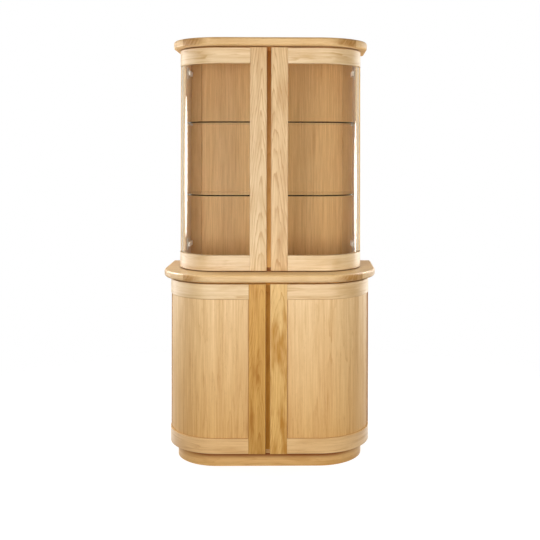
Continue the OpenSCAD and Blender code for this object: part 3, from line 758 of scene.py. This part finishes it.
hingeScrews = {
    "flangeHead": 0.0036,     # radius of the heads on the cups and on the mounting plates
    "armHead": 0.0030,        # radius of the adjusting screws on the arms
    "sides": 24,
    "top": 0.78,              # radius of a head's flat top, as a share of its foot
    "rise": 0.0009,
    "recess": 0.0011,         # width of the cross cut into each head
    "recessDepth": 0.0007,
    "recessSpan": 1.05,       # length of the cross, as a share of the head's radius
    "fromFlangeEnd": 0.008,
    "alongArm": (0.046, 0.076),
    "seed": 5,
}


# Corners of each separate solid in a node, whose mesh is loose triangles
def solidBoxes(name):
    mesh = bmesh.new()
    mesh.from_mesh(nodes[name].data)
    bmesh.ops.remove_doubles(mesh, verts=mesh.verts, dist=0.000001)     # joins the triangles again
    left = set(mesh.verts)
    boxes = []
    while left:
        group = [left.pop()]
        for vertex in group:
            for edge in vertex.link_edges:
                other = edge.other_vert(vertex)
                if other in left:
                    left.discard(other)
                    group.append(other)
        low = Vector([min(v.co[axis] for v in group) for axis in range(3)])
        high = Vector([max(v.co[axis] for v in group) for axis in range(3)])
        boxes.append((low, high))
    mesh.free()
    return sorted(boxes, key=lambda box: tuple(box[0]))


def addInput(tree, label, kind, value=None):
    socket = tree.interface.new_socket(label, in_out="INPUT", socket_type="NodeSocket" + kind)
    if value is not None:
        socket.default_value = value
    return socket.identifier


def makeScrewTree():
    tree = bpy.data.node_groups.new("screw heads", "GeometryNodeTree")
    addInput(tree, "Geometry", "Geometry")
    sizes = {"Head Radius": "flangeHead", "Rise": "rise", "Recess": "recess", "Recess Depth": "recessDepth"}
    keys = {label: addInput(tree, label, "Float", hingeScrews[size]) for label, size in sizes.items()}
    keys["Seed"] = addInput(tree, "Seed", "Int", hingeScrews["seed"])
    keys["Finish"] = addInput(tree, "Finish", "Material")
    tree.interface.new_socket("Geometry", in_out="OUTPUT", socket_type="NodeSocketGeometry")
    given = tree.nodes.new("NodeGroupInput").outputs

    # One head: a low cone with a cross cut into its top
    head = put(tree, "GeometryNodeMeshCone", {
        "Vertices": hingeScrews["sides"], "Radius Bottom": given["Head Radius"], "Depth": given["Rise"],
        "Radius Top": calc(tree, "MULTIPLY", given["Head Radius"], hingeScrews["top"])}).outputs["Mesh"]
    span = calc(tree, "MULTIPLY", given["Head Radius"], hingeScrews["recessSpan"])
    thick = calc(tree, "MULTIPLY", given["Recess Depth"], 2.0)     # half of each bar stands above the head
    raised = vector(tree, 0.0, 0.0, given["Rise"])
    cut = put(tree, "GeometryNodeMeshBoolean", {"Mesh 1": head}, operation="DIFFERENCE", solver="EXACT")
    for wide, long in ((span, given["Recess"]), (given["Recess"], span)):
        bar = put(tree, "GeometryNodeMeshCube", {"Size": vector(tree, wide, long, thick)}).outputs["Mesh"]
        feeds = {"Geometry": bar, "Translation": raised}
        tree.links.new(put(tree, "GeometryNodeTransform", feeds).outputs[0], cut.inputs["Mesh 2"])

    # A head on each point, facing the way its point says and turned about that way by chance
    facing = put(tree, "GeometryNodeInputNamedAttribute", {"Name": "facing"}, data_type="FLOAT_VECTOR")
    aimed = put(tree, "FunctionNodeAlignRotationToVector",
                {"Vector": facing.outputs["Attribute"]}, axis="Z").outputs[0]
    angle = put(tree, "FunctionNodeRandomValue", {2: 0.0, 3: math.pi, "Seed": given["Seed"]},
                data_type="FLOAT").outputs[1]
    spin = put(tree, "FunctionNodeEulerToRotation", {0: vector(tree, 0.0, 0.0, angle)}).outputs[0]
    turned = put(tree, "FunctionNodeRotateRotation", {"Rotation": aimed, "Rotate By": spin},
                 rotation_space="LOCAL").outputs[0]
    heads = put(tree, "GeometryNodeInstanceOnPoints", {
        "Points": given["Geometry"], "Instance": cut.outputs["Mesh"], "Rotation": turned}).outputs[0]
    real = put(tree, "GeometryNodeRealizeInstances", {"Geometry": heads}).outputs[0]
    done = put(tree, "GeometryNodeSetMaterial", {"Geometry": real, "Material": given["Finish"]}).outputs[0]
    tree.links.new(done, tree.nodes.new("NodeGroupOutput").inputs[0])
    return tree, keys


screwTree, screwKeys = makeScrewTree()


def screwMesh(name, spots, radius):
    points = bpy.data.meshes.new(name)
    points.from_pydata([spot for spot, facing in spots], [], [])
    facings = points.attributes.new("facing", "FLOAT_VECTOR", "POINT")
    for item, (spot, facing) in zip(facings.data, spots):
        item.vector = facing
    piece = addObject(name, points)
    modifier = piece.modifiers.new("screws", "NODES")
    modifier.node_group = screwTree
    values = {"Head Radius": radius, "Rise": hingeScrews["rise"], "Recess": hingeScrews["recess"],
              "Recess Depth": hingeScrews["recessDepth"], "Seed": hingeScrews["seed"],
              "Finish": finishes["nickel"]}
    for label, value in values.items():
        modifier[screwKeys[label]] = value
    graph = bpy.context.evaluated_depsgraph_get()
    mesh = bpy.data.meshes.new_from_object(piece.evaluated_get(graph))
    bpy.data.objects.remove(piece)
    return mesh


def joinMeshes(name, meshes):
    joined = bmesh.new()
    for mesh in meshes:
        joined.from_mesh(mesh)
    result = bpy.data.meshes.new(name)
    joined.to_mesh(result)
    joined.free()
    result.materials.append(meshes[0].materials[0])
    return result


def addScrews(name, body, groups):
    mesh = joinMeshes(name, [screwMesh(name, spots, radius) for spots, radius in groups])
    piece = addObject(name, mesh)
    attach(piece, body)


# Places of the screws on one door's hinges, each with the way that its head faces
def hingeSpots(unit, side):
    sign = 1 if side == "right" else -1
    inward = Vector((-sign, 0.0, 0.0))
    lift = inward * hingeScrews["rise"] / 2
    fromEnd = hingeScrews["fromFlangeEnd"]

    def innerFace(low, high):
        return low.x if sign > 0 else high.x

    def spot(x, y, z):
        return Vector((x, y, z)) + lift, inward

    cupBoxes = solidBoxes(unit + "_" + side + "_hinge_cups")
    plateBoxes, armBoxes = [[box for box in solidBoxes(unit + ending) if box[0].x * sign >= 0]
                            for ending in ("_hinge_plates", "_hinge_arms")]
    flangeFace = innerFace(*cupBoxes[-1])     # the plates' wings are level with the cups' flanges
    cups = [spot(innerFace(low, high), (low.y + high.y) / 2, z)
            for low, high in cupBoxes for z in (low.z + fromEnd, high.z - fromEnd)]
    plates = [spot(flangeFace, low.y + fromEnd, z)
              for low, high in plateBoxes for z in (low.z + fromEnd, high.z - fromEnd)]
    arms = [spot(innerFace(low, high), low.y + reach, (low.z + high.z) / 2)
            for low, high in armBoxes for reach in hingeScrews["alongArm"]]
    return cups, plates, arms


cabinetPlates, cabinetArms = [], []
for unit in ("lower", "upper"):
    for side in ("left", "right"):
        cups, plates, arms = hingeSpots(unit, side)
        addScrews(unit + "_" + side + "_hinge_screws", unit + "_" + side + "_door",
                  [(cups, hingeScrews["flangeHead"])])
        cabinetPlates += plates
        cabinetArms += arms
addScrews("cabinet_hinge_screws", "cabinet",
          [(cabinetPlates, hingeScrews["flangeHead"]), (cabinetArms, hingeScrews["armHead"])])
print("hinge screws made")


# Studio: pale floor, white surroundings, lamps

studio = {
    "floorRadius": 2.4,
    "floorSides": 96,
    "floorFade": (1.1, 2.3),
    "floorGlow": 0.83,
    "floorPaint": 0.35,
    "ambient": 0.30,
    "ambientTint": (1.0, 0.94, 0.84, 1.0),
    "frontWall": 0.10,          # how bright the studio looks in reflections, in front and behind
    "backWall": 0.80,
    "wallTurn": (-0.2, 0.7),    # where the front wall gives way to the back one
    "wallTint": (1.0, 0.88, 0.72, 1.0),
}
# onGloss: the lamp shows in the gloss of the lacquer. onPaint: it lights the wood itself. Both unless said.
# onlyOn: the only pieces that it lights. inGlass: it shows in the panes and shelves too, as no other does.
lamps = {
    "frontLamp": {"place": (-0.9, -2.8, 1.2), "aim": (0.0, 0.0, 1.05), "size": (1.6, 1.4),
                  "power": 43.0, "onGloss": False},
    "frontGlossLamp": {"place": (-0.05, -2.8, 1.25), "aim": (-0.05, 0.0, 1.25), "size": (5.0, 2.3),
                       "power": 85.0, "onPaint": False},
    "fillLamp": {"place": (1.5, -2.7, 1.15), "aim": (0.0, 0.0, 1.05), "size": (1.4, 1.4),
                 "power": 34.0, "onGloss": False},
    "leftSideLamp": {"place": (-2.2, 1.2, 1.0), "aim": (-0.4, 0.05, 1.0), "size": (1.0, 1.6),
                     "power": 26.0, "onGloss": False},
    "rightSideLamp": {"place": (2.2, 1.2, 1.0), "aim": (0.4, 0.05, 1.0), "size": (1.0, 1.6),
                      "power": 22.0, "onGloss": False},
    "leftSheenLamp": {"place": (-2.30, 0.40, 1.30), "aim": (-0.4, 0.0, 1.30), "size": (2.8, 2.0),
                      "power": 40.0, "onPaint": False},
    "rightSheenLamp": {"place": (1.85, 1.45, 1.20), "aim": (0.43, 0.0, 1.20), "size": (1.6, 2.3),
                       "power": 16.0, "onPaint": False},
    "topLamp": {"place": (-1.5, 0.7, 3.1), "aim": (-0.4, -0.1, 0.9), "size": (1.0, 1.0),
                "power": 14.0, "onGloss": False},
    "overheadLamp": {"place": (0.0, -1.0, 3.0), "aim": (0.0, -0.2, 0.9), "size": (1.2, 0.8),
                     "power": 18.0, "colour": (1.0, 0.92, 0.60), "onGloss": False,
                     "onlyOn": ("worktop",)},
    "edgeSheenLamp": {"place": (-2.3, 1.2, 2.5), "aim": (-0.45, -0.1, 0.87), "size": (1.4, 1.0),
                      "power": 110.0, "onPaint": False, "onlyOn": ("worktop",)},
    "rightEdgeSheenLamp": {"place": (2.3, 1.2, 2.5), "aim": (0.45, -0.1, 0.87), "size": (1.4, 1.0),
                           "power": 110.0, "onPaint": False, "onlyOn": ("worktop",)},
    "crownSheenLamp": {"place": (-1.9, 0.9, 0.9), "aim": (-0.44, -0.15, 1.93), "size": (1.2, 0.8),
                       "power": 30.0, "onPaint": False, "onlyOn": ("crown_top",)},
    "hingeLamp": {"place": (0.0, -2.8, 1.4), "aim": (0.0, 0.1, 1.4), "size": (1.2, 1.2),
                  "power": 40.0, "onGloss": False, "onlyOn": ("upper_hinge_arms",)},
    "leftGlassLamp": {"place": (-1.6, 0.64, 1.33), "aim": (-0.39, -0.06, 1.33), "size": (0.42, 0.90),
                      "power": 4.0, "shape": "ELLIPSE", "inGlass": True},
    "rightGlassLamp": {"place": (1.51, 0.88, 1.19), "aim": (0.40, -0.06, 1.19), "size": (0.42, 0.86),
                       "power": 4.0, "shape": "ELLIPSE", "inGlass": True},
}


# A lamp whose reach is this collection lights everything but the glass
unlitGlass = bpy.data.collections.new("glass without lamp glare")
for name, piece in nodes.items():
    if slotOf[name].endswith("glass"):
        unlitGlass.objects.link(piece)
for item in unlitGlass.collection_objects:
    item.light_linking.link_state = "EXCLUDE"


def lampReach(lamp, names):
    reach = bpy.data.collections.new("reach of " + lamp)
    for name in names:
        reach.objects.link(nodes[name])
    return reach


def addLamp(name, choices):
    light = bpy.data.lights.new(name, "AREA")
    light.shape = choices.get("shape", "RECTANGLE")
    light.size, light.size_y = choices["size"]
    light.energy = choices["power"]
    light.color = choices.get("colour", (1.0, 1.0, 1.0))
    lamp = addObject(name, light)
    lamp.location = choices["place"]
    lamp.rotation_euler = (Vector(choices["aim"]) - lamp.location).to_track_quat("-Z", "Y").to_euler()
    lamp.visible_camera = False
    lamp.visible_glossy = choices.get("onGloss", True)
    lamp.visible_diffuse = choices.get("onPaint", True)
    if "onlyOn" in choices:
        lamp.light_linking.receiver_collection = lampReach(name, choices["onlyOn"])
    elif not choices.get("inGlass", False):
        lamp.light_linking.receiver_collection = unlitGlass


# 1 for rays that see the backdrop itself, 0 for light on its way to the cabinet
def seenShare(tree, path):
    direct = calc(tree, "MAXIMUM", path["Is Camera Ray"], path["Is Transmission Ray"])
    return calc(tree, "MAXIMUM", direct, path["Is Glossy Ray"])


def addWorld():
    world = bpy.data.worlds.new("studio")
    bpy.context.scene.world = world
    tree = emptyTree(world)
    path = put(tree, "ShaderNodeLightPath").outputs
    facing = split(tree, put(tree, "ShaderNodeTexCoord").outputs["Generated"])["Y"]
    walls = remap(tree, facing, *studio["wallTurn"], studio["frontWall"], studio["backWall"])
    mirrored = calc(tree, "MINIMUM", path["Glossy Depth"], 1.0)
    seen = seenShare(tree, path)
    level = blendFloats(tree, mirrored, 1.0, walls)
    strength = blendFloats(tree, seen, studio["ambient"], level)
    backdrop = blendColours(tree, mirrored, (1.0, 1.0, 1.0, 1.0), studio["wallTint"])
    colour = blendColours(tree, seen, studio["ambientTint"], backdrop)
    shell = put(tree, "ShaderNodeBackground", {"Color": colour, "Strength": strength})
    put(tree, "ShaderNodeOutputWorld", {"Surface": shell.outputs[0]})


def floorMaterial():
    material, tree = startMaterial("floor")
    seen = seenShare(tree, put(tree, "ShaderNodeLightPath").outputs)
    paint = put(tree, "ShaderNodeBsdfDiffuse", {"Color": (studio["floorPaint"],) * 3 + (1.0,)})
    glow = put(tree, "ShaderNodeEmission", {"Strength": calc(tree, "MULTIPLY", seen, studio["floorGlow"])})
    both = put(tree, "ShaderNodeAddShader", {0: paint.outputs[0], 1: glow.outputs[0]})
    clear = put(tree, "ShaderNodeBsdfTransparent")
    spot = put(tree, "ShaderNodeTexCoord").outputs["Object"]
    reach = put(tree, "ShaderNodeVectorMath", {0: spot}, operation="LENGTH").outputs["Value"]
    fade = remap(tree, reach, *studio["floorFade"])
    mixed = put(tree, "ShaderNodeMixShader", {0: fade, 1: both.outputs[0], 2: clear.outputs[0]})
    put(tree, "ShaderNodeOutputMaterial", {"Surface": mixed.outputs[0]})
    return material


def addFloor():
    sides = studio["floorSides"]
    angles = [2 * math.pi * i / sides for i in range(sides)]
    rim = [(studio["floorRadius"] * math.cos(angle), studio["floorRadius"] * math.sin(angle), 0.0)
           for angle in angles]
    mesh = bpy.data.meshes.new("floor")
    mesh.from_pydata(rim, [], [list(range(sides))])
    mesh.materials.append(floorMaterial())
    floor = addObject("floor", mesh)


for name, choices in lamps.items():
    addLamp(name, choices)
addWorld()
addFloor()
print("studio set")
